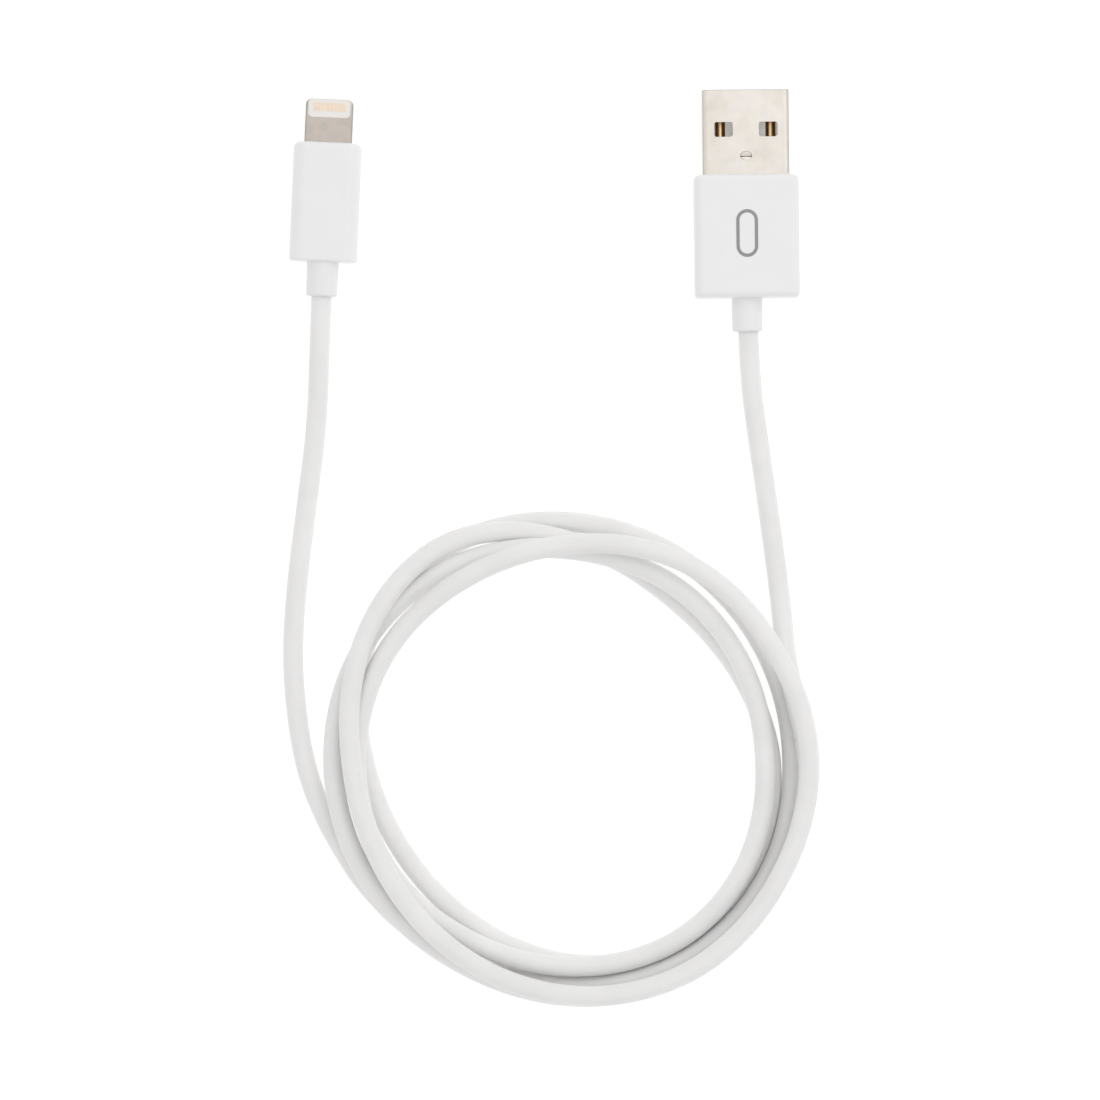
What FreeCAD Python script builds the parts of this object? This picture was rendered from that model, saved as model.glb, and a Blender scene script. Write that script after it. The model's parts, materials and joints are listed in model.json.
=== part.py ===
"""A charging cable: a flat power plug, a thin reversible device plug and a coiled cable between them.

Millimetres, +Z up. The cable lies on a surface at z = 0. Both plugs point along +Y. The origin is on
the surface, below the middle of the two plugs. Each plug is drawn in its own frame, with y = 0 at the
front face of its housing and z = 0 on its middle plane, and is then placed.
"""
import FreeCAD
import Part
import math
import os

V = FreeCAD.Vector
UP = V(0, 0, 1)
FORWARD = V(0, 1, 0)

# Cable
CABLE_DIAMETER = 2.8
WIRE_DIAMETER = 0.7
WIRE_SPACING = 0.42
WIRE_STRAIGHT = 0.28
BRAID_THICKNESS = 0.12

# Room between pieces: fitted ones, ones laid in a cavity, and a can round what it holds
FIT = 0.02
LAID_ROOM = 0.05
CAN_ROOM = 0.03
HALVES_GAP = 0.01

# Power plug
POWER_AT = (28.0, 4.945)
POWER_TURN = 0.6
POWER_HOUSING = (14.5, 17.0, 7.2)
POWER_HOUSING_CORNER = 1.2
POWER_HOUSING_ROUNDS = (0.75, 0.45)
POWER_CAVITY = (13.2, 6.0)
POWER_CAVITY_CORNER = 0.8
POWER_FRONT_WALL = 0.9
POWER_REAR_WALL = 1.5
SHELL_WIDTH = 12.0
SHELL_HEIGHT = 4.5
SHELL_REACH = 11.75
SHELL_TAIL = 6.5
SHELL_WALL = 0.3
SHELL_CORNER = 0.65
SHELL_LIP = 0.12
WINDOW = (2.6, 2.05)
WINDOW_AT = (3.1, 6.25)
WINDOW_CORNER = 0.35
TAB_AT = 2.6
TAB_RADIUS = 0.72
TAB_THICKNESS = 0.2
TAB_TILT = -14
SEAM_GAP = 0.06
SEAM_KEY = 0.8
SEAM_STEPS = (0.6, 3.4, 8.2)
TONGUE_HEIGHT = 1.9
TONGUE_RECESS = 0.6
TONGUE_ROUND = 0.25
CONTACT_PLACES = {"supply": -3.5, "data_minus": -1.0, "data_plus": 1.0, "ground": 3.5}
CONTACT_WIDTH = 1.0
CONTACT_THICKNESS = 0.25
CONTACT_GAP = 0.01
CONTACT_NOSE = 0.12
CONTACT_SETBACK = {"power": 1.1, "data": 2.1}
GROOVE_WIDTH = 1.4
GROOVE_DEPTH = 0.42
GROOVE_SETBACK = 0.9
CONTACT_TAIL = 8.7
POWER_JOINT = (0.7, 0.42)
POWER_CAN_WALL = 0.25
POWER_CAN_OVERLAP = 1.3
POWER_CAN_REAR = 12.9
POWER_CRIMP_REAR = 14.5
POWER_MOULD_REAR = 14.6
POWER_RELIEF_LENGTH = 4.7
POWER_RELIEF_RADII = (2.12, 2.09)
POWER_NECK = 2.02
POWER_FLANGE = 2.9
MARK_SIZE = (3.0, 6.6)
MARK_LINE = 0.45
MARK_THICKNESS = 0.03
MARK_AT = -8.2

# Device plug
DEVICE_AT = (-30.0, 9.485)
DEVICE_TURN = -2.5
DEVICE_HOUSING = (9.4, 16.5, 5.4)
DEVICE_HOUSING_CORNER = 2.0
DEVICE_HOUSING_ROUNDS = (0.75, 0.3)
DEVICE_CAVITY = (8.4, 4.4)
DEVICE_CAVITY_CORNER = 1.5
DEVICE_FRONT_WALL = 0.8
DEVICE_REAR_WALL = 1.0
TIP_WIDTH = 6.6
TIP_THICKNESS = 1.5
TIP_REACH = 6.1
TIP_TAIL = 5.0
TIP_CORNER = 0.75
TIP_EDGE = 0.3
PAD_SIZE = (5.9, 2.5)
PAD_CORNER = 0.6
PAD_RIM = 0.1
CATCH_RADIUS = 0.6
CATCH_AT = 2.2
CATCH_OUT = 0.25
BOARD_WIDTH = 5.2
BOARD_THICKNESS = 0.6
BOARD_REAR = 10.2
BOARD_SETBACK = 0.5
DEVICE_CONTACTS = 8
DEVICE_PITCH = 0.56
DEVICE_CONTACT = (0.48, 1.2)
DEVICE_CONTACT_AT = 4.95
DEVICE_CONTACT_CORNER = 0.12
CONTROL_CHIP = (-0.6, -7.3, 2.6, 2.6, 0.55)
SWITCH_CHIP = (0.0, -7.4, 1.8, 1.6, 0.5)
CAPACITOR = (0.35, 0.65, 0.35)
CAPACITOR_PLACES = [(1.475, -7.875), (2.275, -7.875), (1.475, -6.775), (2.275, -6.775)]
DEVICE_JOINT = (0.45, 0.4)
DEVICE_WIRE_PLACES = {"red": (-1.6, 1), "black": (1.6, 1), "white": (-1.2, -1), "green": (1.2, -1)}
DEVICE_WIRE_HEIGHT = 0.55
DEVICE_CAN = (7.7, 3.7)
DEVICE_CAN_CORNER = 1.0
DEVICE_CAN_WALL = 0.2
DEVICE_CAN_FRONT = 4.2
DEVICE_CAN_REAR = 12.3
DEVICE_CRIMP_REAR = 13.9
DEVICE_MOULD_REAR = 14.2
DEVICE_RELIEF_LENGTH = 4.85
DEVICE_RELIEF_RADII = (2.22, 2.14)
DEVICE_NECK = 1.88
DEVICE_FLANGE = 2.1
RELIEF_ROUND = 0.4

# The cable's route on the surface. Each lead starts inside its plug and ends at the coil.
CABLE_RADIUS = CABLE_DIAMETER / 2
POWER_LEAD = [
    (28.14, -8.05, 3.6),
    (28.28, -21.55, 3.6),
    (30.32, -35.25, 1.7),
    (32.10, -47.75, 1.4),
    (33.08, -55.65, 1.4),
]
DEVICE_LEAD = [
    (-30.54, -2.90, 2.7),
    (-31.11, -15.99, 2.7),
    (-31.53, -29.30, 1.6),
    (-33.08, -41.22, 1.4),
    (-34.44, -51.92, 1.4),
    (-35.10, -62.06, 1.4),
    (-34.26, -71.78, 1.4),
    (-32.81, -78.72, 1.4),
]
ARC_SHARE = 0.45

# The coil: outer and inner radii every 30 degrees, clockwise from +Y
COIL_CENTRE = (4.17, -76.12)
COIL_HEIGHT = 9.8
COIL_EDGE = 1.2
COIL_STEP = 30
COIL_OUTER = [34.6, 33.1, 33.4, 34.2, 34.3, 35.1, 34.2, 33.7, 34.8, 34.7, 34.9, 36.1]
COIL_INNER = [27.0, 25.0, 24.4, 25.0, 26.5, 27.3, 27.2, 25.7, 25.6, 27.6, 28.6, 28.2]
COIL_POWER_END = (34.90, -66.5, 1.4)
COIL_DEVICE_END = (-24.70, -93.4, 1.4)
STUB_RUN = 6.5
STUB_RADIUS = CABLE_RADIUS - 0.05

# How close two numbers are when they mean the same place
TOUCH = 1e-4

made = {}


def box(x0, x1, y0, y1, z0, z1):
    """A block from its lowest and highest corners."""
    return Part.makeBox(x1 - x0, y1 - y0, z1 - z0, V(x0, y0, z0))


def rod(radius, start, length, direction=FORWARD):
    """A round rod."""
    return Part.makeCylinder(radius, length, V(*start), direction)


def cone(radius_rear, radius_front, y_rear, y_front):
    """A round taper along the plug's axis."""
    length = y_front - y_rear
    return Part.makeCone(radius_rear, radius_front, length, V(0, y_rear, 0), FORWARD)


def rounded_face(width, height, radius, y):
    """A rounded rectangle in the plane across the plug, at one y."""
    half_w = width / 2
    half_h = height / 2
    corners = [(half_w, half_h), (-half_w, half_h), (-half_w, -half_h), (half_w, -half_h)]
    edges = []
    ends = []
    for x, z in corners:
        inner_x = x - math.copysign(radius, x)
        inner_z = z - math.copysign(radius, z)
        diagonal = radius / math.sqrt(2)
        middle = V(inner_x + math.copysign(diagonal, x), y, inner_z + math.copysign(diagonal, z))
        on_side = V(x, y, inner_z)
        on_top = V(inner_x, y, z)
        first, last = (on_side, on_top) if x * z > 0 else (on_top, on_side)
        edges.append(Part.Arc(first, middle, last).toShape())
        ends.append((first, last))
    for i, (first, last) in enumerate(ends):
        following = ends[(i + 1) % 4][0]
        edges.append(Part.makeLine(last, following))
    return Part.Face(Part.Wire(Part.__sortEdges__(edges)))


def bar(width, height, radius, y_rear, y_front):
    """A bar with rounded long edges, along the plug's axis."""
    return rounded_face(width, height, radius, y_rear).extrude(V(0, y_front - y_rear, 0))


def edges_at(shape, y):
    """The edges of a shape that lie in the plane at one y."""
    return [e for e in shape.Edges if all(abs(v.Y - y) < TOUCH for v in e.Vertexes)]


def level_edges_at(shape, y):
    """The edges in the plane at one y that run across the plug."""
    return [e for e in edges_at(shape, y) if abs(e.Vertexes[0].Z - e.Vertexes[-1].Z) < TOUCH]


def plan_slab(width, length, radius, x, y, z0, z1):
    """A slab with rounded corners seen from above, centred on x and y."""
    slab = box(x - width / 2, x + width / 2, y - length / 2, y + length / 2, z0, z1)
    upright = [e for e in slab.Edges if abs(e.tangentAt(e.FirstParameter).z) > 0.99]
    return slab.makeFillet(radius, upright)


def route_wire(points):
    """Straight runs joined by tangent arcs, each as large as its two runs allow, and the arcs' radii."""
    points = [V(*p) for p in points]
    edges = []
    radii = []
    start = points[0]
    for before, corner, after in zip(points, points[1:], points[2:]):
        back = before - corner
        ahead = after - corner
        half_turn = (math.pi - back.getAngle(ahead)) / 2
        reach = ARC_SHARE * min(back.Length, ahead.Length)
        radius = reach / math.tan(half_turn)
        back.normalize()
        ahead.normalize()
        arc_start = corner + back * reach
        arc_end = corner + ahead * reach
        inward = (back + ahead).normalize()
        middle = corner + inward * (radius / math.cos(half_turn) - radius)
        edges.append(Part.LineSegment(start, arc_start).toShape())
        edges.append(Part.Arc(arc_start, middle, arc_end).toShape())
        radii.append(round(radius, 1))
        start = arc_end
    edges.append(Part.LineSegment(start, points[-1]).toShape())
    return Part.Wire(edges), radii


def tube(points, radius, name):
    """A round tube along a route, with its volume compared with section times length."""
    wire, radii = route_wire(points)
    direction = V(*points[1]) - V(*points[0])
    section = Part.Wire(Part.makeCircle(radius, V(*points[0]), direction))
    solid = wire.makePipeShell([section], True, False)
    expected = math.pi * radius**2 * wire.Length
    share = solid.Volume / expected
    print(f"{name}: length {wire.Length:.1f}, radii {radii}, volume share {share:.4f}")
    return solid


def keep(name, shape):
    """Stores a finished shape under its node's name."""
    made[name] = shape.removeSplitter()


def place(shapes, at, turn, height):
    """Puts a plug's shapes, drawn in its own frame, on the surface."""
    for name, shape in shapes.items():
        shape.rotate(V(0, 0, 0), UP, turn)
        shape.translate(V(at[0], at[1], height))
        keep(name, shape)


def housing(size, corner, cavity, cavity_corner, front_wall, rear_wall, front_round, rear_round):
    """A moulded housing with a closed cavity and rounded ends."""
    width, length, height = size
    solid = bar(width, height, corner, -length, 0)
    solid = solid.makeFillet(front_round, edges_at(solid, 0))
    solid = solid.makeFillet(rear_round, edges_at(solid, -length))
    hollow = bar(cavity[0], cavity[1], cavity_corner, -(length - rear_wall), -front_wall)
    return solid.cut(hollow)


def strain_relief(base_y, length, radii, flange):
    """A short tapered collar, with a neck through the rear wall and a flange inside it."""
    neck_radius, neck_front, flange_radius, flange_front = flange
    collar = cone(radii[1], radii[0], base_y - length, base_y)
    collar = collar.makeFillet(RELIEF_ROUND, edges_at(collar, base_y - length))
    neck = rod(neck_radius, (0, base_y, 0), neck_front - base_y)
    plate = rod(flange_radius, (0, neck_front, 0), flange_front - neck_front)
    bore = rod(CABLE_RADIUS + FIT, (0, base_y - length - 1, 0), length + 6)
    return collar.fuse([neck, plate]).cut(bore)


def can(outer, corner, y_front, y_rear, crimp_rear, wall):
    """A sheet can, open in front, with a rear wall and a crimp collar; returned as upper and lower half."""
    width, height = outer
    body = bar(width, height, corner, -y_rear, -y_front)
    inside = bar(width - 2 * wall, height - 2 * wall, corner - wall, -y_rear + wall, -y_front + 1)
    bore_radius = CABLE_RADIUS + FIT + BRAID_THICKNESS + FIT
    collar = rod(bore_radius + wall, (0, -crimp_rear, 0), crimp_rear - y_rear)
    bore = rod(bore_radius, (0, -crimp_rear - 1, 0), crimp_rear - y_rear + 2)
    whole = body.cut(inside).fuse(collar).cut(bore)
    upper = whole.common(box(-width, width, -crimp_rear - 1, 1, HALVES_GAP, height))
    lower = whole.common(box(-width, width, -crimp_rear - 1, 1, -height, -HALVES_GAP))
    return upper, lower


def can_envelope(outer, corner, y_front, y_rear, crimp_rear, wall):
    """The space that a can takes, with a little room round it."""
    width, height = outer
    room = CAN_ROOM
    body = bar(width + 2 * room, height + 2 * room, corner + room, -y_rear - room, -y_front)
    collar_radius = CABLE_RADIUS + 2 * FIT + BRAID_THICKNESS + wall + room
    return body.fuse(rod(collar_radius, (0, -crimp_rear - 1, 0), crimp_rear - y_rear + 2))


def inner_mould(cavity, corner, rear, front_wall):
    """The block of plastic moulded round a plug's inner pieces, laid in the housing's cavity."""
    width = cavity[0] - 2 * LAID_ROOM
    height = cavity[1] - 2 * LAID_ROOM
    return bar(width, height, corner - LAID_ROOM, -rear, -front_wall - LAID_ROOM)


def braid_end(y_rear, y_front):
    """The cable's braid, folded back over the jacket under the crimp."""
    inner = CABLE_RADIUS + FIT
    sleeve = rod(inner + BRAID_THICKNESS, (0, y_rear, 0), y_front - y_rear)
    return sleeve.cut(rod(inner, (0, y_rear - 1, 0), y_front - y_rear + 2))


def wire_end(contact, cable_y, side_x, side_z):
    """One insulated wire from its solder joint to the cut end of the cable."""
    x, y, z = contact
    straight = WIRE_STRAIGHT * (y - cable_y)
    end = (side_x * WIRE_SPACING, cable_y, side_z * WIRE_SPACING)
    first = (x, y - straight, z)
    second = (end[0], cable_y + straight, end[2])
    wire, _ = route_wire([contact, first, second, end])
    section = Part.Wire(Part.makeCircle(WIRE_DIAMETER / 2, V(*contact), V(*first) - V(*contact)))
    return wire.makePipeShell([section], True, False)


def power_shell():
    """The folded sheet tube with its windows, punched tab and seam."""
    outer = bar(SHELL_WIDTH, SHELL_HEIGHT, SHELL_CORNER, -SHELL_TAIL, SHELL_REACH)
    outer = outer.makeFillet(SHELL_LIP, edges_at(outer, SHELL_REACH))
    inside = bar(
        SHELL_WIDTH - 2 * SHELL_WALL,
        SHELL_HEIGHT - 2 * SHELL_WALL,
        SHELL_CORNER - SHELL_WALL,
        -SHELL_TAIL - 1,
        SHELL_REACH + 1,
    )
    shell = outer.cut(inside)
    for side in (-1, 1):
        x = side * WINDOW_AT[0]
        window = plan_slab(*WINDOW, WINDOW_CORNER, x, WINDOW_AT[1], -SHELL_HEIGHT, SHELL_HEIGHT)
        shell = shell.cut(window)
    return shell_seam(shell_tab(shell))


def shell_tab(shell):
    """The half-moon tab that is punched into the shell's top and leans into it."""
    top = SHELL_HEIGHT / 2
    hole = Part.makeCylinder(TAB_RADIUS + 3 * FIT, SHELL_WALL * 2, V(0, TAB_AT, top - SHELL_WALL * 1.5), UP)
    hole = hole.common(box(-1, 1, TAB_AT - 0.5, TAB_AT + 0.6, 0, SHELL_HEIGHT))
    tab = Part.makeCylinder(TAB_RADIUS, TAB_THICKNESS, V(0, TAB_AT, top - TAB_THICKNESS - 2 * FIT), UP)
    tab = tab.common(box(-1, 1, TAB_AT - 0.75, TAB_AT + 0.35, 0, SHELL_HEIGHT))
    tab.rotate(V(0, TAB_AT - 0.6, top - SHELL_WALL / 2), V(1, 0, 0), TAB_TILT)
    return shell.cut(hole).fuse(tab)


def shell_seam(shell):
    """The stepped seam along the shell's underside, where its folded sheet meets."""
    bottom = -SHELL_HEIGHT / 2
    low = bottom - 1
    high = bottom + SHELL_WALL + 0.1
    stations = [-SHELL_TAIL - 1, *SEAM_STEPS, SHELL_REACH + 1]
    for i, (rear, front) in enumerate(zip(stations, stations[1:])):
        x = SEAM_KEY if i % 2 else 0
        shell = shell.cut(box(x, x + SEAM_GAP, rear, front + SEAM_GAP, low, high))
    for y in SEAM_STEPS:
        shell = shell.cut(box(0, SEAM_KEY + SEAM_GAP, y, y + SEAM_GAP, low, high))
    return shell


def power_tongue():
    """The insulating tongue, with a groove for each contact."""
    half = SHELL_WIDTH / 2 - SHELL_WALL - LAID_ROOM
    bottom = -SHELL_HEIGHT / 2 + SHELL_WALL + 0.03
    front = SHELL_REACH - TONGUE_RECESS
    top = bottom + TONGUE_HEIGHT
    tongue = box(-half, half, -SHELL_TAIL, front, bottom, top)
    tongue = tongue.makeFillet(TONGUE_ROUND, level_edges_at(tongue, front))
    hollow = bar(2 * half, -2 * bottom, SHELL_CORNER - SHELL_WALL, -SHELL_TAIL - 1, front + 1)
    tongue = tongue.common(hollow)
    floor = top - GROOVE_DEPTH
    for x in CONTACT_PLACES.values():
        left = x - GROOVE_WIDTH / 2
        groove_front = front - GROOVE_SETBACK
        tongue = tongue.cut(box(left, left + GROOVE_WIDTH, -SHELL_TAIL - 1, groove_front, floor, top + 1))
    return tongue, floor


def power_contact(x, floor, kind):
    """One contact strip with a rounded nose and a solder tail; the power ones reach further forward."""
    front = SHELL_REACH - TONGUE_RECESS - CONTACT_SETBACK[kind]
    half = CONTACT_WIDTH / 2
    low = floor + CONTACT_GAP
    strip = box(x - half, x + half, -CONTACT_TAIL, front, low, low + CONTACT_THICKNESS)
    nose = [e for e in level_edges_at(strip, front) if e.CenterOfMass.z > low + TOUCH]
    return strip.makeFillet(CONTACT_NOSE, nose)


def power_mark():
    """A plain printed capsule outline on top of the housing."""
    width, length = MARK_SIZE
    top = POWER_HOUSING[2] / 2
    outer = plan_slab(width, length, width / 2 - 0.001, 0, MARK_AT, top, top + MARK_THICKNESS)
    inner_width = width - 2 * MARK_LINE
    inner_length = length - 2 * MARK_LINE
    inner = plan_slab(inner_width, inner_length, inner_width / 2 - 0.001, 0, MARK_AT, top - 1, top + 1)
    return outer.cut(inner)


def power_wiring(shapes, floor):
    """The contacts, their solder joints and the four wires behind them."""
    joint_behind, joint_radius = POWER_JOINT
    joint_z = floor + CONTACT_GAP + CONTACT_THICKNESS
    corners = {"supply": (-1, -1), "data_minus": (-1, 1), "data_plus": (1, 1), "ground": (1, -1)}
    colours = {"supply": "red", "data_minus": "white", "data_plus": "green", "ground": "black"}
    cable_y = -POWER_CAN_REAR - 3 * FIT
    joints = []
    for use, x in CONTACT_PLACES.items():
        kind = "data" if use.startswith("data") else "power"
        shapes[f"power_contact_{use}"] = power_contact(x, floor, kind)
        start = (x, -CONTACT_TAIL - LAID_ROOM, joint_z + 0.1)
        shapes[f"power_wire_{colours[use]}"] = wire_end(start, cable_y, *corners[use])
        joints.append(solder_joint(x, -CONTACT_TAIL + joint_behind, joint_z, joint_radius, 1))
    shapes["power_solder_joints"] = Part.makeCompound(joints)


def power_plug():
    """Every piece of the power plug."""
    length = POWER_HOUSING[1]
    shell_space = (SHELL_WIDTH + 2 * FIT, SHELL_HEIGHT + 2 * FIT, SHELL_CORNER + FIT)
    shapes = {"power_shell": power_shell()}
    shapes["power_tongue"], floor = power_tongue()
    power_wiring(shapes, floor)
    can_grow = 2 * (CAN_ROOM + POWER_CAN_WALL)
    can_outer = (SHELL_WIDTH + can_grow, SHELL_HEIGHT + can_grow)
    can_corner = SHELL_CORNER + can_grow / 2
    can_front = SHELL_TAIL - POWER_CAN_OVERLAP
    can_sizes = (can_outer, can_corner, can_front, POWER_CAN_REAR, POWER_CRIMP_REAR, POWER_CAN_WALL)
    shapes["power_can_upper"], shapes["power_can_lower"] = can(*can_sizes)
    shapes["power_braid_end"] = braid_end(-POWER_CRIMP_REAR, -POWER_CAN_REAR - LAID_ROOM)
    mould = inner_mould(POWER_CAVITY, POWER_CAVITY_CORNER, POWER_MOULD_REAR, POWER_FRONT_WALL)
    mould = mould.cut(bar(*shell_space, -SHELL_TAIL, 1))
    shapes["power_inner_mould"] = mould.cut(can_envelope(*can_sizes))
    body = housing(
        POWER_HOUSING,
        POWER_HOUSING_CORNER,
        POWER_CAVITY,
        POWER_CAVITY_CORNER,
        POWER_FRONT_WALL,
        POWER_REAR_WALL,
        *POWER_HOUSING_ROUNDS,
    )
    hole = rod(POWER_NECK + FIT, (0, -length - 1, 0), POWER_REAR_WALL + 2)
    shapes["power_housing"] = body.cut(bar(*shell_space, -2, 1)).cut(hole)
    flange = (POWER_NECK, -length + POWER_REAR_WALL + FIT, POWER_FLANGE, -POWER_MOULD_REAR - LAID_ROOM)
    shapes["power_strain_relief"] = strain_relief(
        -length, POWER_RELIEF_LENGTH, POWER_RELIEF_RADII, flange
    )
    shapes["power_mark"] = power_mark()
    place(shapes, POWER_AT, POWER_TURN, POWER_HOUSING[2] / 2)


def solder_joint(x, y, z, radius, side):
    """A dome of solder on top of, or below, a flat pad."""
    dome = Part.makeSphere(radius, V(x, y, z))
    outward = box(x - 1, x + 1, y - 1, y + 1, min(z, z + side), max(z, z + side))
    return dome.common(outward)


def device_tip():
    """The metal frame: a thin blade with a window in front and a slot for the board behind."""
    blade = bar(TIP_WIDTH, TIP_THICKNESS, TIP_EDGE, -TIP_TAIL, TIP_REACH)
    past_tail = 4
    length = TIP_REACH + TIP_TAIL + past_tail
    blade = blade.common(plan_slab(TIP_WIDTH, length, TIP_CORNER, 0, TIP_REACH - length / 2, -2, 2))
    half_slot = BOARD_WIDTH / 2 + LAID_ROOM
    slot_height = BOARD_THICKNESS / 2 + LAID_ROOM
    slot = box(-half_slot, half_slot, -TIP_TAIL - 1, TIP_REACH - PAD_RIM - 1, -slot_height, slot_height)
    blade = blade.cut(pad_window(0)).cut(slot)
    for side in (-1, 1):
        catch = Part.makeSphere(CATCH_RADIUS, V(side * (TIP_WIDTH / 2 + CATCH_OUT), CATCH_AT, 0))
        blade = blade.cut(catch)
    return blade


def pad_window(inset):
    """The block of space that the insulator fills in the tip frame."""
    width = PAD_SIZE[0] - 2 * inset
    length = PAD_SIZE[1] - 2 * inset
    y = TIP_REACH - PAD_RIM - PAD_SIZE[1] / 2
    return plan_slab(width, length, PAD_CORNER, 0, y, -2, 2)


def contact_row(side):
    """Eight contact pads on one face of the tip, each a separate solid."""
    pads = []
    low = BOARD_THICKNESS / 2 + CONTACT_GAP
    high = TIP_THICKNESS / 2 - CONTACT_GAP
    z0, z1 = (low, high) if side > 0 else (-high, -low)
    for i in range(DEVICE_CONTACTS):
        x = (i - (DEVICE_CONTACTS - 1) / 2) * DEVICE_PITCH
        pads.append(plan_slab(*DEVICE_CONTACT, DEVICE_CONTACT_CORNER, x, DEVICE_CONTACT_AT, z0, z1))
    return pads


def device_insulator(board, contacts):
    """The insulator that fills the window round the board and the contacts."""
    depth = TIP_THICKNESS / 2 - 0.03
    block = pad_window(0.01).common(box(-4, 4, 0, TIP_REACH, -depth, depth))
    block = block.cut(board)
    for pad in contacts:
        block = block.cut(pad)
    return block


def on_board(place, size, side):
    """A block on the board's upper face (side 1) or lower face (side -1), centred on place."""
    x, y = place
    width, length, height = size
    near = side * BOARD_THICKNESS / 2
    far = near + side * height
    left = x - width / 2
    rear = y - length / 2
    return box(left, left + width, rear, rear + length, min(near, far), max(near, far))


def device_electronics(shapes):
    """The board's chips and capacitors, its solder joints and the four wires."""
    shapes["device_control_chip"] = on_board(CONTROL_CHIP[:2], CONTROL_CHIP[2:], 1)
    shapes["device_switch_chip"] = on_board(SWITCH_CHIP[:2], SWITCH_CHIP[2:], -1)
    capacitors = [on_board(at, CAPACITOR, 1) for at in CAPACITOR_PLACES]
    shapes["device_capacitors"] = Part.makeCompound(capacitors)
    joint_behind, joint_radius = DEVICE_JOINT
    cable_y = -DEVICE_CAN_REAR - 3 * FIT
    joints = []
    for colour, (x, side) in DEVICE_WIRE_PLACES.items():
        start = (x, -BOARD_REAR - FIT, side * DEVICE_WIRE_HEIGHT)
        shapes[f"device_wire_{colour}"] = wire_end(start, cable_y, math.copysign(1, x), side)
        face = side * BOARD_THICKNESS / 2
        joints.append(solder_joint(x, -BOARD_REAR + joint_behind, face, joint_radius, side))
    shapes["device_solder_joints"] = Part.makeCompound(joints)


def device_plug():
    """Every piece of the device plug."""
    length = DEVICE_HOUSING[1]
    tip_space = (TIP_WIDTH + 2 * FIT, TIP_THICKNESS + 2 * FIT, TIP_EDGE + FIT)
    shapes = {"device_tip_frame": device_tip()}
    half_board = BOARD_WIDTH / 2
    half_thick = BOARD_THICKNESS / 2
    board = box(-half_board, half_board, -BOARD_REAR, TIP_REACH - BOARD_SETBACK, -half_thick, half_thick)
    front = contact_row(1)
    back = contact_row(-1)
    shapes["device_insulator"] = device_insulator(board, front + back)
    shapes["device_contacts_front"] = Part.makeCompound(front)
    shapes["device_contacts_back"] = Part.makeCompound(back)
    shapes["device_board"] = board
    device_electronics(shapes)
    can_sizes = (
        DEVICE_CAN,
        DEVICE_CAN_CORNER,
        DEVICE_CAN_FRONT,
        DEVICE_CAN_REAR,
        DEVICE_CRIMP_REAR,
        DEVICE_CAN_WALL,
    )
    shapes["device_can_upper"], shapes["device_can_lower"] = can(*can_sizes)
    shapes["device_braid_end"] = braid_end(-DEVICE_CRIMP_REAR, -DEVICE_CAN_REAR - LAID_ROOM)
    mould = inner_mould(DEVICE_CAVITY, DEVICE_CAVITY_CORNER, DEVICE_MOULD_REAR, DEVICE_FRONT_WALL)
    mould = mould.cut(bar(*tip_space, -TIP_TAIL, 1))
    shapes["device_inner_mould"] = mould.cut(can_envelope(*can_sizes))
    body = housing(
        DEVICE_HOUSING,
        DEVICE_HOUSING_CORNER,
        DEVICE_CAVITY,
        DEVICE_CAVITY_CORNER,
        DEVICE_FRONT_WALL,
        DEVICE_REAR_WALL,
        *DEVICE_HOUSING_ROUNDS,
    )
    hole = rod(DEVICE_NECK + FIT, (0, -length - 1, 0), DEVICE_REAR_WALL + 2)
    shapes["device_housing"] = body.cut(bar(*tip_space, -2, 1)).cut(hole)
    flange_front = -DEVICE_MOULD_REAR - LAID_ROOM
    flange = (DEVICE_NECK, -length + DEVICE_REAR_WALL + FIT, DEVICE_FLANGE, flange_front)
    shapes["device_strain_relief"] = strain_relief(
        -length, DEVICE_RELIEF_LENGTH, DEVICE_RELIEF_RADII, flange
    )
    place(shapes, DEVICE_AT, DEVICE_TURN, DEVICE_HOUSING[2] / 2)


def coil_outline(radii):
    """A closed smooth outline round the coil's centre."""
    points = []
    for i, radius in enumerate(radii):
        angle = math.radians(COIL_STEP * i)
        x = COIL_CENTRE[0] + radius * math.sin(angle)
        y = COIL_CENTRE[1] + radius * math.cos(angle)
        points.append(V(x, y, 0))
    curve = Part.BSplineCurve()
    curve.interpolate(points, PeriodicFlag=True)
    return Part.Face(Part.Wire(curve.toShape()))


def coil_stub(lead, end, name):
    """The stretch of a lead that runs straight on from its tube and then bends into the coil."""
    start = V(*lead[-1])
    direction = (start - V(*lead[-2])).normalize()
    return tube([start, start + direction * STUB_RUN, end], STUB_RADIUS, name)


def coil():
    """The outer shape of the coiled turns, with a stub where each lead joins."""
    height = V(0, 0, COIL_HEIGHT)
    ring = coil_outline(COIL_OUTER).extrude(height).cut(coil_outline(COIL_INNER).extrude(height))
    top_edges = [e for e in ring.Edges if abs(e.CenterOfMass.z - COIL_HEIGHT) < TOUCH]
    ring = ring.makeFillet(COIL_EDGE, top_edges)
    ring = ring.fuse(coil_stub(POWER_LEAD, COIL_POWER_END, "power stub"))
    return ring.fuse(coil_stub(DEVICE_LEAD, COIL_DEVICE_END, "device stub"))


def write_all():
    """Writes one STEP file for each node."""
    os.makedirs("parts", exist_ok=True)
    for name, shape in made.items():
        shape.exportStep(f"parts/{name}.step")


power_plug()
device_plug()
keep("power_lead", tube(POWER_LEAD, CABLE_RADIUS, "power_lead"))
keep("device_lead", tube(DEVICE_LEAD, CABLE_RADIUS, "device_lead"))
keep("cable_coil", coil())
write_all()
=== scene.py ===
"""The charging cable's looks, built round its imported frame. Metres, in the frame's own axes."""
import json
import math

import bmesh
import bpy
import numpy as np
from mathutils import Matrix, Vector


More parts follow.
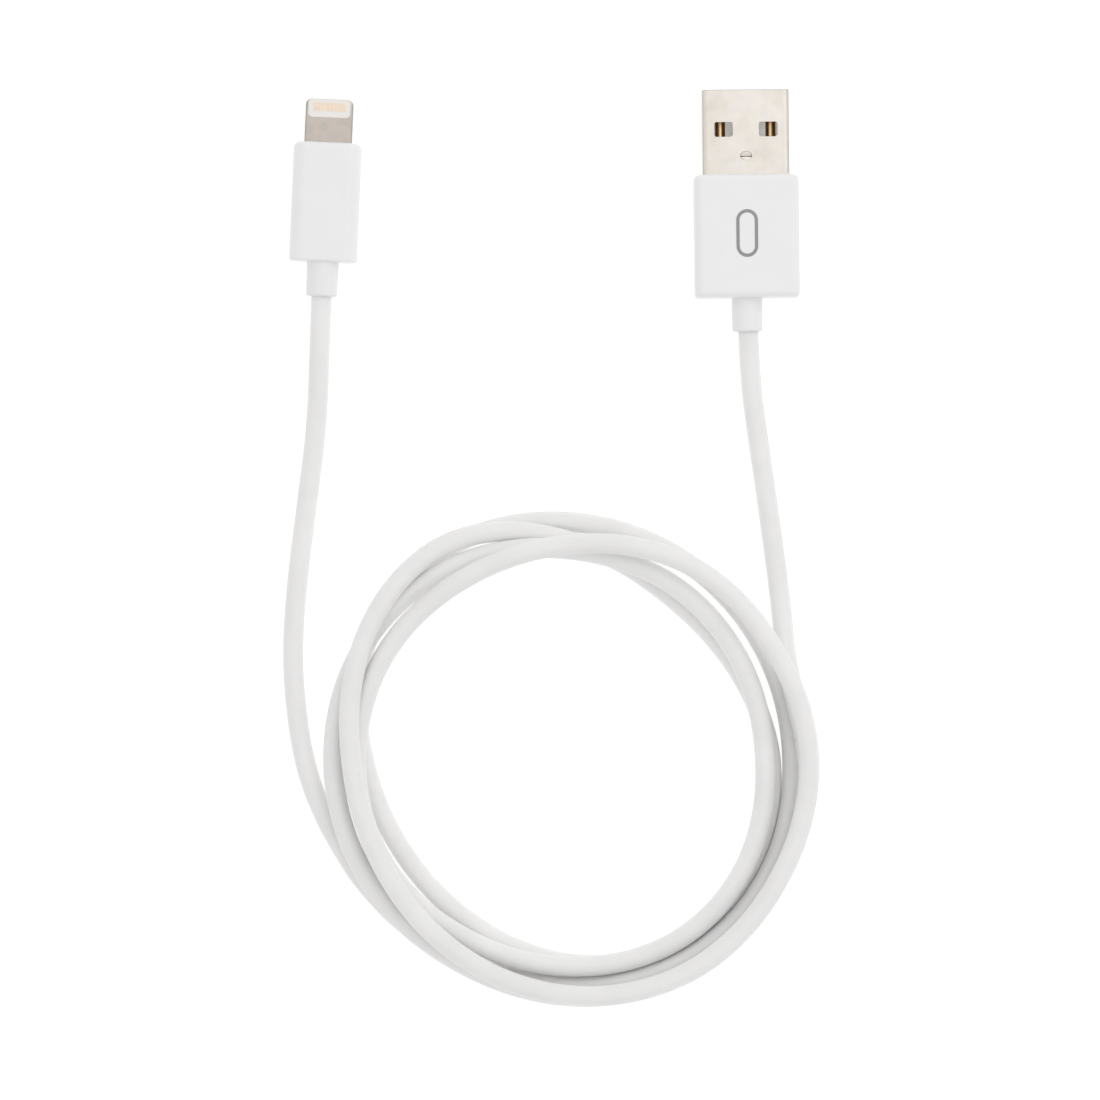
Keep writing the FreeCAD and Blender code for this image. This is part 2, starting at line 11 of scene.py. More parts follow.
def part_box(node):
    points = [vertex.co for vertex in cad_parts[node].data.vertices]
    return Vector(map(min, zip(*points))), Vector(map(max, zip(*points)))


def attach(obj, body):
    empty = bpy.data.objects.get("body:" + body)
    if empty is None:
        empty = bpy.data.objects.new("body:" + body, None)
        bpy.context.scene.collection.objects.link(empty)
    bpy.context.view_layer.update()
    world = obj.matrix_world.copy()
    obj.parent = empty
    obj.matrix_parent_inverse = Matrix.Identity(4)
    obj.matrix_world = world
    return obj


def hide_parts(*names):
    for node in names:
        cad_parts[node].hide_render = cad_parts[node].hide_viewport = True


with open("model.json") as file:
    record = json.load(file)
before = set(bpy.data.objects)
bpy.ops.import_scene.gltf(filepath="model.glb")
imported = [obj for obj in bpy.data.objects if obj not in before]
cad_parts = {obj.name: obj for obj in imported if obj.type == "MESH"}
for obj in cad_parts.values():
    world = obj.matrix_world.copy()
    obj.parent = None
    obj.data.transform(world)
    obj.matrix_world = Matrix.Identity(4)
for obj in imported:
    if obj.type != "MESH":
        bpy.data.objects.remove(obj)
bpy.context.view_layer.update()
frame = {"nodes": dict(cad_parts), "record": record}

MM = 0.001
UP = Vector((0, 0, 1))

# ---------------------------------------------------------------- camera

VIEW_WIDTH = 152.8 * MM
VIEW_CENTRE = Vector((0.83, -47.06, 3.0)) * MM
LENS = 190
SENSOR = 36


def add_camera():
    """Looks straight down, from far enough away that the view is almost flat."""
    data = bpy.data.cameras.new("camera")
    data.lens = LENS
    data.sensor_width = SENSOR
    data.clip_start = 0.05
    data.clip_end = 20
    camera = bpy.data.objects.new("camera", data)
    camera.location = VIEW_CENTRE + UP * (VIEW_WIDTH * LENS / SENSOR)
    bpy.context.scene.collection.objects.link(camera)
    bpy.context.scene.camera = camera


# ---------------------------------------------------------------- the cable

CABLE_DIAMETER = 2.8 * MM
FLOOR = CABLE_DIAMETER / 2

# The leads' points, in millimetres, from inside each plug to the coil
POWER_LEAD = [
    (28.14, -8.05, 3.6),
    (28.28, -21.55, 3.6),
    (30.32, -35.25, 1.7),
    (32.10, -47.75, 1.4),
    (33.08, -55.65, 1.4),
]
DEVICE_LEAD = [
    (-30.54, -2.90, 2.7),
    (-31.11, -15.99, 2.7),
    (-31.53, -29.30, 1.6),
    (-33.08, -41.22, 1.4),
    (-34.44, -51.92, 1.4),
    (-35.10, -62.06, 1.4),
    (-34.26, -71.78, 1.4),
    (-32.81, -78.72, 1.4),
]
INTO_COIL = [(33.68, -63.44)]
OUT_OF_COIL = [(-27.78, -89.14), (-30.28, -84.83)]

# The turns, clockwise from COIL_START: how many layers up each lies, and its radius every 30 degrees
COIL_CENTRE = Vector((4.17, -76.12))
COIL_START = 90
COIL_STEP = 30
COIL_TURNS = [
    (2, [32.6, 32.8, 33.5, 32.8, 32.2, 33.1, 33.4, 33.2, 31.5]),
    (3, [29.0, 27.8, 26.7, 26.4, 27.9, 28.9, 28.7, 28.9, 30.1, 30.2, 30.0, 29.3]),
    (4, [29.8, 31.4, 31.5, 32.5, 32.6, 33.2, 32.5, 31.2, 30.2, 30.7, 33.5, 35.0]),
    (0, [30.1, 26.2, 25.8, 27.4, 28.7, 29.6, 28.6, 27.0, 27.0, 29.2, 33.3, 34.3, 32.9]),
    (1, [31.5, 30.5, 30.3, 31.4, 31.8, 31.5, 31.9, 33.7]),
]

# Settling: samples between two control points, how many rounds, and how many steps in each
SAMPLES = 8
SETTLE_ROUNDS = 400
SETTLE_STEPS = 6
# The first round's drop in millimetres, and how hard the cable straightens and pushes back
SETTLE_DROP = 0.08
SETTLE_STIFFNESS = 0.1
SETTLE_PUSH = 2.0
# How many control points apart two parts of the cable are before they can meet
NEIGHBOURS = 3


def coil_points():
    """Control points at every radius in COIL_TURNS and halfway between them, and the layer of each."""
    radii = [radius for _, turn in COIL_TURNS for radius in turn]
    layers = [layer for layer, turn in COIL_TURNS for _ in turn]
    last = len(radii) - 1
    outward = 4 / (3 + math.cos(math.radians(COIL_STEP / 2)))
    points = []
    levels = []
    for half in range(2 * last + 1):
        before, after = half // 2, (half + 1) // 2
        near = radii[before] + radii[after]
        far = radii[max(before - 1, 0)] + radii[min(after + 1, last)]
        radius = (9 * near - far) / 16 if after > before else radii[before]
        angle = math.radians(COIL_START + COIL_STEP * half / 2)
        level = (layers[before] + layers[after]) / 2
        x = COIL_CENTRE.x + radius * outward * math.sin(angle)
        y = COIL_CENTRE.y + radius * outward * math.cos(angle)
        points.append((x, y, (FLOOR + CABLE_DIAMETER * level) / MM))
        levels.append(level)
    return points, levels


def spline_weights(count):
    """Row by row, how much each control point counts at each sample of a clamped quadratic spline."""
    rows = []
    for k in range(1, count - 1):
        for t in np.arange(SAMPLES) / SAMPLES:
            row = np.zeros(count)
            row[k] = 2 * t * (1 - t)
            for near, share, end in ((k - 1, (1 - t) ** 2, k == 1), (k + 1, t * t, k == count - 2)):
                row[near] += share if end else share / 2
                row[k] += 0 if end else share / 2
            rows.append(row)
    rows.append(np.eye(count)[-1])
    return np.array(rows)


def settle(points, levels, free):
    """Lets the free points down until they lie on the floor or on each other, the higher level on top."""
    weights = spline_weights(len(points))
    line = weights @ points
    level = weights @ levels
    diameter = CABLE_DIAMETER / MM
    across = np.hypot(*(line[:, None, :2] - line[None, :, :2]).transpose(2, 0, 1))
    place = np.arange(len(line))
    apart = np.abs(place[:, None] - place[None, :]) > NEIGHBOURS * SAMPLES
    first, second = np.where(np.triu((across < diameter) & apart))
    need = np.sqrt(diameter**2 - across[first, second] ** 2)
    side = np.sign(level[first] - level[second])
    total = weights.sum(0)
    z = points[:, 2].copy()
    for turn in range(SETTLE_ROUNDS):
        z[free] -= SETTLE_DROP * (1 - turn / SETTLE_ROUNDS)
        for _ in range(SETTLE_STEPS):
            bend = np.zeros(len(z))
            bend[1:-1] = (z[:-2] + z[2:]) / 2 - z[1:-1]
            z[free] += SETTLE_STIFFNESS * bend[free]
            at = weights @ z
            lack = np.clip(need - side * (at[first] - at[second]), 0, None)
            push = np.zeros(len(at))
            hits = np.zeros(len(at))
            for ends, sign in ((first, side), (second, -side)):
                np.add.at(push, ends, sign * lack / 2)
                np.add.at(hits, ends, lack > 0)
            z[free] += SETTLE_PUSH * (weights.T @ (push / np.maximum(hits, 1)) / total)[free]
            z = np.maximum(z, FLOOR / MM)
    return np.column_stack([points[:, :2], z])


def cable_points():
    """Every control point of the cable, from inside the power plug to inside the device plug."""
    turns, levels = coil_points()
    floor = FLOOR / MM
    into = [(x, y, floor) for x, y in INTO_COIL]
    out = [(x, y, floor) for x, y in OUT_OF_COIL]
    points = [*POWER_LEAD, *into, *turns, *out, *reversed(DEVICE_LEAD)]
    level = [0] * len(POWER_LEAD) + [levels[0]] * len(into) + levels + [0] * (len(out) + len(DEVICE_LEAD))
    free = np.ones(len(points), bool)
    free[: len(POWER_LEAD)] = False
    free[-len(DEVICE_LEAD) :] = False
    return settle(np.array(points), np.array(level, float), free) * MM


def add_cable():
    """One smooth open curve with the cable's real length."""
    data = bpy.data.curves.new("charging_cable", "CURVE")
    data.dimensions = "3D"
    data.bevel_depth = CABLE_DIAMETER / 2
    data.bevel_resolution = 10
    data.resolution_u = 8
    data.use_fill_caps = True
    spline = data.splines.new("NURBS")
    points = cable_points()
    spline.points.add(len(points) - 1)
    for target, point in zip(spline.points, points):
        target.co = (*point, 1)
    spline.order_u = 3
    spline.use_endpoint_u = True
    spline.use_smooth = True
    cable = bpy.data.objects.new("charging_cable", data)
    bpy.context.scene.collection.objects.link(cable)
    return cable


# ---------------------------------------------------------------- shaping plug pieces

# A plug's own frame: millimetres, y = 0 at the housing's front face, +Y to the tip, z = 0 midway up
ARC_STEPS = 10
ROUND_STEPS = 6
CIRCLE_STEPS = 64
# Degrees: a corner sharper than this is bevelled, and one sharper than this stays sharp in the shading
BEVEL_ANGLE = 40
SHARP_ANGLE = 32


def plug_frame(mount_name):
    """Where a plug's own frame lies, from its mount at the tip."""
    mount = next(mount for mount in frame["record"]["mounts"] if mount["name"] == mount_name)
    forward = Vector(mount["axis"])
    right = forward.cross(UP)
    origin = Vector(mount["pos_m"]) - forward * mount["dims"]["length_mm"] * MM
    axes = Matrix((right, forward, UP)).transposed().to_4x4()
    return Matrix.Translation(origin) @ axes @ Matrix.Scale(MM, 4)


def rounded_outline(width, length, corner):
    """The points round a rectangle with rounded corners, centred on (0, 0)."""
    points = []
    for quarter, (side_u, side_v) in enumerate(((1, 1), (-1, 1), (-1, -1), (1, -1))):
        for step in range(ARC_STEPS + 1):
            angle = math.pi / 2 * (quarter + step / ARC_STEPS)
            u = side_u * (width / 2 - corner) + corner * math.cos(angle)
            v = side_v * (length / 2 - corner) + corner * math.sin(angle)
            points.append((u, v))
    return points


def across(width, height, corner, y):
    """A rounded rectangle across the plug."""
    return [(u, y, v) for u, v in rounded_outline(width, height, corner)]


def circle(radius, y):
    """A circle across the plug."""
    turns = (2 * math.pi * step / CIRCLE_STEPS for step in range(CIRCLE_STEPS))
    return [(radius * math.cos(turn), y, radius * math.sin(turn)) for turn in turns]


def quarter_round(radius):
    """How far in and how far along each point of a rounded edge lies, from the end face to the side."""
    turns = [math.pi / 2 * step / ROUND_STEPS for step in range(ROUND_STEPS + 1)]
    return [(radius * (1 - math.sin(turn)), radius * (1 - math.cos(turn))) for turn in turns]


def loft(rings, closed=False):
    """A skin through rings of points, capped at both ends or, if closed, joined end to end."""
    mesh = bmesh.new()
    rows = [[mesh.verts.new(point) for point in ring] for ring in rings]
    pairs = list(zip(rows, rows[1:]))
    if closed:
        pairs.append((rows[-1], rows[0]))
    else:
        mesh.faces.new(rows[0])
        mesh.faces.new(rows[-1])
    for near, far in pairs:
        for i in range(len(near)):
            j = (i + 1) % len(near)
            mesh.faces.new((near[i], near[j], far[j], far[i]))
    bmesh.ops.recalc_face_normals(mesh, faces=mesh.faces)
    return mesh


def prism(outline, x, y, z_low, z_high):
    """An upright block with that outline seen from above."""
    return loft([[(x + u, y + v, z) for u, v in outline] for z in (z_low, z_high)])


def new_object(name, mesh):
    """Puts a bmesh in the scene as an object."""
    data = bpy.data.meshes.new(name)
    mesh.to_mesh(data)
    mesh.free()
    piece = bpy.data.objects.new(name, data)
    bpy.context.scene.collection.objects.link(piece)
    return piece


def apply_modifiers(piece):
    """Replaces a piece's mesh by what its modifiers make of it."""
    bpy.context.view_layer.update()
    shown = piece.evaluated_get(bpy.context.evaluated_depsgraph_get())
    data = bpy.data.meshes.new_from_object(shown)
    piece.modifiers.clear()
    piece.data = data


def cut(piece, cutters):
    """Takes the cutters' shapes out of a piece."""
    tools = [new_object("cutter", cutter) for cutter in cutters]
    for tool in tools:
        boolean = piece.modifiers.new("cut", "BOOLEAN")
        boolean.operation = "DIFFERENCE"
        boolean.solver = "EXACT"
        boolean.object = tool
    apply_modifiers(piece)
    for tool in tools:
        bpy.data.objects.remove(tool)


def finish_piece(piece, place, nodes, material, edge=0.0):
    """Breaks a piece's sharp edges, places it, gives it its material and hides the CAD nodes it stands for.
    """
    if edge:
        bevel = piece.modifiers.new("edges", "BEVEL")
        bevel.width = edge
        bevel.segments = 2
        bevel.limit_method = "ANGLE"
        bevel.angle_limit = math.radians(BEVEL_ANGLE)
        apply_modifiers(piece)
    piece.data.transform(place)
    piece.data.materials.clear()
    piece.data.materials.append(material)
    piece.data.shade_smooth()
    piece.data.set_sharp_from_angle(angle=math.radians(SHARP_ANGLE))
    piece.modifiers.new("normals", "WEIGHTED_NORMAL").keep_sharp = True
    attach(piece, "root")
    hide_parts(*nodes)


# ---------------------------------------------------------------- the plugs' visible pieces


# Housings: width, length and height, and the radius of the long edges
POWER_HOUSING = (14.5, 17.0, 7.2)
POWER_EDGE = 1.2
DEVICE_HOUSING = (9.4, 16.5, 5.4)
DEVICE_EDGE = 2.0
# How far the round at a housing's front, and at its rear, reaches in, down and along
POWER_ROUNDS = ((1.25, 0.75, 0.7), (0.35, 0.85, 0.85))
DEVICE_ROUNDS = ((1.0, 0.75, 0.75), (0.3, 0.3, 0.3))
# The opening in a housing's front: the gap round what comes out, the lip's width and the depth
OPENING_GAP = 0.06
OPENING_LIP = 0.05
OPENING_DEPTH = 0.8

# Strain reliefs: length, and radii at the housing and at the end
POWER_RELIEF = (4.7, (2.12, 2.09))
DEVICE_RELIEF = (4.85, (2.22, 2.14))
RELIEF_FLARE = 0.14
RELIEF_ROUND = 0.38
RELIEF_SUNK = 0.3
# Moulded on to the cable, so its bore is a little inside the jacket
RELIEF_BORE = CABLE_DIAMETER / MM / 2 - 0.2


def housing(name, size, corner, rounds, opening):
    """A moulded housing: rounded at both ends, with a shallow opening round what comes out of its front."""
    width, length, height = size
    rings = []
    for (narrower, lower, reach), end, turn in zip(rounds, (0, -length), (-1, 1)):
        steps = []
        for inset, along in quarter_round(1):
            section = (width - 2 * narrower * inset, height - 2 * lower * inset, corner - lower * inset)
            steps.append(across(*section, end + turn * reach * along))
        rings = steps + rings[::-1]
    width, height, corner = (side + OPENING_GAP for side in opening)
    lip = OPENING_LIP
    rings.append(across(width + 2 * lip, height + 2 * lip, corner + lip, 0))
    rings.append(across(width, height, corner, -lip))
    rings.append(across(width, height, corner, -OPENING_DEPTH))
    return new_object(name, loft(rings))


def strain_relief(name, start, length, radii):
    """A short tapered collar: a small flare at the housing, and a rounded end round the cable."""
    base, end = radii
    rings = [circle(base + RELIEF_FLARE, -start + RELIEF_SUNK)]
    for inset, along in quarter_round(RELIEF_FLARE):
        rings.append(circle(base + inset, -start - along))
    tapered = base + (end - base) * (1 - RELIEF_ROUND / length)
    for inset, along in reversed(quarter_round(RELIEF_ROUND)):
        rings.append(circle(tapered - inset, -start - length + along))
    rings.append(circle(RELIEF_BORE, -start - length))
    rings.append(circle(RELIEF_BORE, -start + RELIEF_SUNK))
    return new_object(name, loft(rings, closed=True))


# The power plug's shell: width, height and corner radius
SHELL = (12.0, 4.5, 0.65)
SHELL_WALL = 0.3
SHELL_LIP = 0.1
SHELL_REACH = 11.75
SHELL_REAR = -1.2
CUT_DEPTH = 1.5 * SHELL_WALL
# Its windows: width, length and corner radius, and how far they are from the plug's middle and its housing
WINDOW = (2.6, 2.05, 0.35)
WINDOW_AT = (3.1, 6.25)
# Its punched oval, in two leaves with a slit between: half its width and length, and the leaves' lean
TAB_AT = 2.6
TAB_HALF = (0.78, 0.58)
TAB_GAP = 0.04
TAB_THICKNESS = 0.2
TAB_SUNK = 0.02
TAB_SLIT = (-0.14, -0.08)
# The front leaf gets a darker copy of the nickel: painted shade
TAB_LEAVES = (("front", 1, 16, "tab_shaded_nickel"), ("rear", -1, 22, "shell_nickel"))
# The seam underneath: its gap, how far it steps aside, and where
SEAM_GAP = 0.06
SEAM_KEY = 0.8
SEAM_STEPS = (0.6, 3.4, 8.2)


def ellipse(half_width, half_length, low=-math.inf, high=math.inf):
    """An ellipse, cut off flat behind low and in front of high."""
    points = []
    for step in range(CIRCLE_STEPS):
        turn = 2 * math.pi * step / CIRCLE_STEPS
        along = half_length * math.sin(turn)
        points.append((half_width * math.cos(turn), max(low, min(high, along))))
    return points


def seam_cutters():
    """Thin blocks along the stepped seam under the shell."""
    bottom = -SHELL[1] / 2
    stations = [SHELL_REAR - 1, *SEAM_STEPS, SHELL_REACH + 1]
    blocks = []
    for i, (rear, front) in enumerate(zip(stations, stations[1:])):
        x = SEAM_KEY if i % 2 else 0
        outline = [(0, rear), (SEAM_GAP, rear), (SEAM_GAP, front + SEAM_GAP), (0, front + SEAM_GAP)]
        blocks.append(prism(outline, x, 0, bottom - 1, bottom + CUT_DEPTH))
    for y in SEAM_STEPS:
        outline = [(0, 0), (SEAM_KEY + SEAM_GAP, 0), (SEAM_KEY + SEAM_GAP, SEAM_GAP), (0, SEAM_GAP)]
        blocks.append(prism(outline, 0, y, bottom - 1, bottom + CUT_DEPTH))
    return blocks


def power_shell():
    """The folded sheet tube with its four windows, punched tab and stepped seam."""
    width, height, corner = SHELL
    rings = [across(width, height, corner, SHELL_REAR)]
    for inset, along in reversed(quarter_round(SHELL_LIP)):
        rings.append(across(width - 2 * inset, height - 2 * inset, corner - inset, SHELL_REACH - along))
    for inset, along in quarter_round(SHELL_LIP):
        inside = SHELL_WALL - inset
        rings.append(across(width - 2 * inside, height - 2 * inside, corner - inside, SHELL_REACH - along))
    inner = [side - 2 * SHELL_WALL for side in (width, height)]
    rings.append(across(*inner, corner - SHELL_WALL, SHELL_REAR))
    piece = new_object("power_shell_skin", loft(rings, closed=True))
    top = height / 2
    hole = ellipse(*(half + TAB_GAP for half in TAB_HALF))
    cutters = [prism(hole, 0, TAB_AT, top - CUT_DEPTH, top + 1)]
    for side in (-1, 1):
        outline = rounded_outline(*WINDOW)
        cutters.append(prism(outline, side * WINDOW_AT[0], WINDOW_AT[1], -height, height))
    cut(piece, cutters + seam_cutters())
    return piece


def punched_leaf(name, side, tilt):
    """Half of the punched oval, in front (1) or behind (-1): it leans in from its outer edge."""
    half_width, half_length = TAB_HALF
    ends = (TAB_SLIT[1], math.inf) if side > 0 else (-math.inf, TAB_SLIT[0])
    piece = new_object(name, prism(ellipse(half_width, half_length, *ends), 0, 0, -TAB_THICKNESS, 0))
    hinge = Matrix.Translation((0, TAB_AT + side * half_length, SHELL[1] / 2 - TAB_SUNK))
    lean = Matrix.Rotation(side * math.radians(tilt), 4, "X")
    piece.data.transform(hinge @ lean @ Matrix.Translation((0, -side * half_length, 0)))
    return piece


# The device plug's tip: width, height and edge radius, and the corner radius seen from above
TIP = (6.6, 1.5, 0.3)
TIP_REACH = 6.1
TIP_REAR = -1.2
TIP_CORNER = 0.8
# How much of its edge radius the tip's front edge is rounded by
TIP_ROUNDING = 0.9
# Its window: width, length and corner radius, and the metal left in front of it
PAD = (5.9, 2.5, 0.6)
PAD_RIM = 0.1
# Its catch hollows: spheres with their centres a little outside each side
CATCH_RADIUS = 0.6
CATCH_AT = 2.2
CATCH_OUT = 0.25


def device_tip():
    """The thin tip's metal frame: round corners, a window for the contacts, a hollow on each side."""
    width, height, edge = TIP
    rings = [across(width, height, edge, TIP_REAR)]
    steps = 3 * ROUND_STEPS
    for step in range(steps + 1):
        turn = math.pi / 2 * (1 - step / steps)
        behind = TIP_CORNER * (1 - math.cos(turn))
        narrower = TIP_CORNER * (1 - math.sin(turn))
        thinner = edge - math.sqrt(max(0, edge**2 - max(0, edge - behind) ** 2))
        lower = thinner * TIP_ROUNDING
        section = (width - 2 * narrower, height - 2 * lower, edge - lower)
        rings.append(across(*section, TIP_REACH - behind))
    piece = new_object("device_tip_skin", loft(rings))
    cutters = [prism(rounded_outline(*PAD), 0, TIP_REACH - PAD_RIM - PAD[1] / 2, -height, height)]
    for side in (-1, 1):
        notch = bmesh.new()
        bmesh.ops.create_uvsphere(notch, u_segments=32, v_segments=16, radius=CATCH_RADIUS)
        bmesh.ops.translate(notch, verts=notch.verts, vec=(side * (width / 2 + CATCH_OUT), CATCH_AT, 0))
        cutters.append(notch)
    cut(piece, cutters)
    return piece


# The power plug's contacts: how far across each lies, and where its front end is
CONTACTS = {
    "supply": (-3.5, 10.05),
    "data_minus": (-1.0, 9.05),
    "data_plus": (1.0, 9.05),
    "ground": (3.5, 10.05),
}
# A strip's width, its underside's height, how high its edges and crown rise, and where its rear end is
CONTACT_WIDTH = 1.0
CONTACT_LOW = -0.46
CONTACT_EDGE = 0.06
CONTACT_CROWN = 0.27
CONTACT_TAIL = -8.7
# The nose: its length, the share of the rise it loses, and where along it the strip is shaped
NOSE = 0.5
NOSE_DIP = 0.75
NOSE_STATIONS = (1, 0.66, 0.33, 0.1, 0)


def contact_strip(name, x, front):
    """A springy contact: a strip with a crowned top and a nose that dips."""
    side = CONTACT_WIDTH / 2
    rings = []
    for back in (front - CONTACT_TAIL, *(NOSE * station for station in NOSE_STATIONS)):
        y = front - back
        dip = NOSE_DIP * (1 - min(1, back / NOSE)) ** 2
        ring = [(x + side, y, CONTACT_LOW), (x - side, y, CONTACT_LOW)]
        for step in range(ARC_STEPS + 1):
            u = 2 * step / ARC_STEPS - 1
            rise = CONTACT_EDGE + (CONTACT_CROWN - CONTACT_EDGE) * (1 - u * u)
            ring.append((x + u * side, y, CONTACT_LOW + rise * (1 - dip)))
        rings.append(ring)
    return new_object(name, loft(rings))


def add_plugs(materials):
    """The pieces that stand for the CAD's plain ones, each in its plug's own frame."""
    power = plug_frame("power_plug_end")
    device = plug_frame("device_plug_end")
    white = materials["housing_white"]
    soft = materials["relief_white"]
    nickel = materials["shell_nickel"]
    body = housing("power_housing_skin", POWER_HOUSING, POWER_EDGE, POWER_ROUNDS, SHELL)
    finish_piece(body, power, ["power_housing"], white)
    body = housing("device_housing_skin", DEVICE_HOUSING, DEVICE_EDGE, DEVICE_ROUNDS, TIP)
    finish_piece(body, device, ["device_housing"], white)
    collar = strain_relief("power_relief_skin", POWER_HOUSING[1], *POWER_RELIEF)
    finish_piece(collar, power, ["power_strain_relief"], soft)
    collar = strain_relief("device_relief_skin", DEVICE_HOUSING[1], *DEVICE_RELIEF)
    finish_piece(collar, device, ["device_strain_relief"], soft)
    finish_piece(power_shell(), power, ["power_shell"], nickel, edge=0.04)
    for name, side, tilt, material in TAB_LEAVES:
        leaf = punched_leaf(f"power_shell_leaf_{name}", side, tilt)
        finish_piece(leaf, power, ["power_shell"], materials[material], edge=0.03)
    finish_piece(device_tip(), device, ["device_tip_frame"], materials["tip_metal"], edge=0.05)
    for use, (x, front) in CONTACTS.items():
        strip = contact_strip(f"power_contact_{use}_skin", x, front)
        node = f"power_contact_{use}"
        finish_piece(strip, power, [node], materials["contact_gold"])


# ---------------------------------------------------------------- materials

# Most of a noise's values lie between these
SPAN = (0.3, 0.7)


def set_stops(ramp, stops):
    """Fills a colour ramp node: stops are (position, colour), in order."""
    elements = ramp.color_ramp.elements
    for element, (position, colour) in ((elements[0], stops[0]), (elements[1], stops[-1])):
        element.position = position
        element.color = (*colour, 1)
    for position, colour in stops[1:-1]:
        elements.new(position).color = (*colour, 1)


class Surface:
    """A node material with Blender's principled shader, and short ways to drive it."""

    def __init__(self, name, roughness, **constants):
        self.material = bpy.data.materials.new(name)
        self.material.use_nodes = True
        self.tree = self.material.node_tree
        self.shader = self.tree.nodes["Principled BSDF"]
        self.shader.inputs["Roughness"].default_value = roughness
        for socket, value in constants.items():
            self.shader.inputs[socket.replace("_", " ")].default_value = value
        self.place = self.node("ShaderNodeTexCoord").outputs["Object"]
        self.height = None

    def node(self, kind, **settings):
        made = self.tree.nodes.new(kind)
        for name, value in settings.items():
            setattr(made, name, value)
        return made

    def join(self, output, target):
        self.tree.links.new(output, target)

    def stretched(self, scale, turn=0.0):
        """The object's coordinates, scaled along each axis and turned about Z."""
        mapping = self.node("ShaderNodeMapping")
        mapping.inputs["Scale"].default_value = scale
        mapping.inputs["Rotation"].default_value = (0, 0, turn)
        self.join(self.place, mapping.inputs["Vector"])
        return mapping.outputs["Vector"]

    def noise(self, size, detail=3.0, place=None, rough=0.5):
        """A cloud whose features are about size metres across."""
        texture = self.node("ShaderNodeTexNoise")
        texture.inputs["Scale"].default_value = 1 / size
        texture.inputs["Detail"].default_value = detail
        texture.inputs["Roughness"].default_value = rough
        self.join(place or self.place, texture.inputs["Vector"])
        return texture.outputs["Fac"]

    def ramp(self, value, low, high, colours):
        """Turns a value between low and high into colours, evenly spaced."""
        ramp = self.node("ShaderNodeValToRGB")
        last = len(colours) - 1
        set_stops(ramp, [(low + (high - low) * i / last, colour) for i, colour in enumerate(colours)])
        self.join(value, ramp.inputs["Fac"])
        return ramp.outputs["Color"]

    def between(self, value, low, high, bottom, top):
        """Maps a value's range on to another."""
        mapped = self.node("ShaderNodeMapRange")
        for socket, number in zip(("From Min", "From Max", "To Min", "To Max"), (low, high, bottom, top)):
            mapped.inputs[socket].default_value = number
        self.join(value, mapped.inputs["Value"])
        return mapped.outputs["Result"]

    def multiply(self, first, second):
        """The product of two colours."""
        mix = self.node("ShaderNodeMix", data_type="RGBA", blend_type="MULTIPLY")
        mix.inputs["Factor"].default_value = 1
        self.join(first, mix.inputs[6])
        self.join(second, mix.inputs[7])
        return mix.outputs[2]

    def painted_lean_shade(self, colour, normal, stops):
        """Paints shade on a colour where the surface leans that way: stops are (lean from -1 to 1,
        brightness).
        """
        lean = self.node("ShaderNodeSeparateXYZ")
        self.join(self.node("ShaderNodeTexCoord").outputs["Normal"], lean.inputs["Vector"])
        curve = self.node("ShaderNodeValToRGB")
        set_stops(curve, [((place + 1) / 2, (value, value, value)) for place, value in stops])
        self.join(self.between(lean.outputs[normal], -1, 1, 0, 1), curve.inputs["Fac"])
        return self.multiply(colour, curve.outputs["Color"])

    def let_light_in(self, weight, depth):
        """Light spreads under the surface, about depth metres far."""
        self.shader.inputs["Subsurface Weight"].default_value = weight
        self.shader.inputs["Subsurface Radius"].default_value = (1, 0.9, 0.8)
        self.shader.inputs["Subsurface Scale"].default_value = depth

    def colour(self, output):
        self.join(output, self.shader.inputs["Base Color"])

    def gloss(self, output):
        self.join(output, self.shader.inputs["Roughness"])

    def bump(self, output, depth, strength=1.0):
        """Adds relief of depth metres on top of the relief already there."""
        bump = self.node("ShaderNodeBump")
        bump.inputs["Distance"].default_value = depth
        bump.inputs["Strength"].default_value = strength
        self.join(output, bump.inputs["Height"])
        if self.height:
            self.join(self.height, bump.inputs["Normal"])
        self.height = bump.outputs["Normal"]
        self.join(self.height, self.shader.inputs["Normal"])


# How much painted light the plug's insulator gives off, in its own colour
TONGUE_PAINTED_GLOW = 0.15
# Up from a contact's underside: where the painted brown shade on its sides ends and its crown starts, and
# how deep the painted brown shade in its groove reaches
CONTACT_SHADE_RISE = (0.14 * MM, 0.23 * MM)
GROOVE_SHADE_DEPTH = 0.25 * MM
# How far in front of the longer contacts the painted shade in the grooves fades out
GROOVE_SHADE_END = (0.2 * MM, 0.3 * MM)
# Painted shade on the metals by how far they lean, from -1 to 1: the bends of sheet metal are painted darker
SHELL_LEFT = [(-1, 0.95), (-0.96, 0.5), (-0.85, 0.55), (-0.7, 1)]
SHELL_RIGHT = [(0.1, 1), (0.2, 0.7), (0.3, 1), (0.7, 1), (0.85, 0.45), (1, 0.9)]
SHELL_FRONT = [(-1, 1), (0.1, 1), (0.4, 0.5), (1, 0.7)]
TIP_SIDES = [(-1, 0.85), (-0.75, 0.66), (-0.35, 1), (0.35, 1), (0.75, 0.66), (1, 0.85)]
TIP_FRONT = [(-1, 0.7), (0.1, 0.7), (0.4, 1), (1, 1)]


def shade(colour, factor):
    """A colour made lighter or darker."""
    return tuple(min(1.0, part * factor) for part in colour)


def shades(colour, darker, lighter):
    """A darker shade, the colour itself and a lighter shade."""
    return [shade(colour, 1 - darker), colour, shade(colour, 1 + lighter)]


def moulded(name, colour, roughness, grain, depth, spread, **constants):
    """Moulded plastic: faint clouds in its colour, a fine grain and an uneven gloss."""
    surface = Surface(name, roughness, **constants)
    surface.colour(surface.ramp(surface.noise(grain * 40, 2), *SPAN, shades(colour, spread, spread)))
    uneven = surface.noise(grain * 12, 3)
    surface.gloss(surface.between(uneven, *SPAN, roughness - 0.05, roughness + 0.05))
    surface.bump(surface.noise(grain, 4, rough=0.6), depth)
    return surface


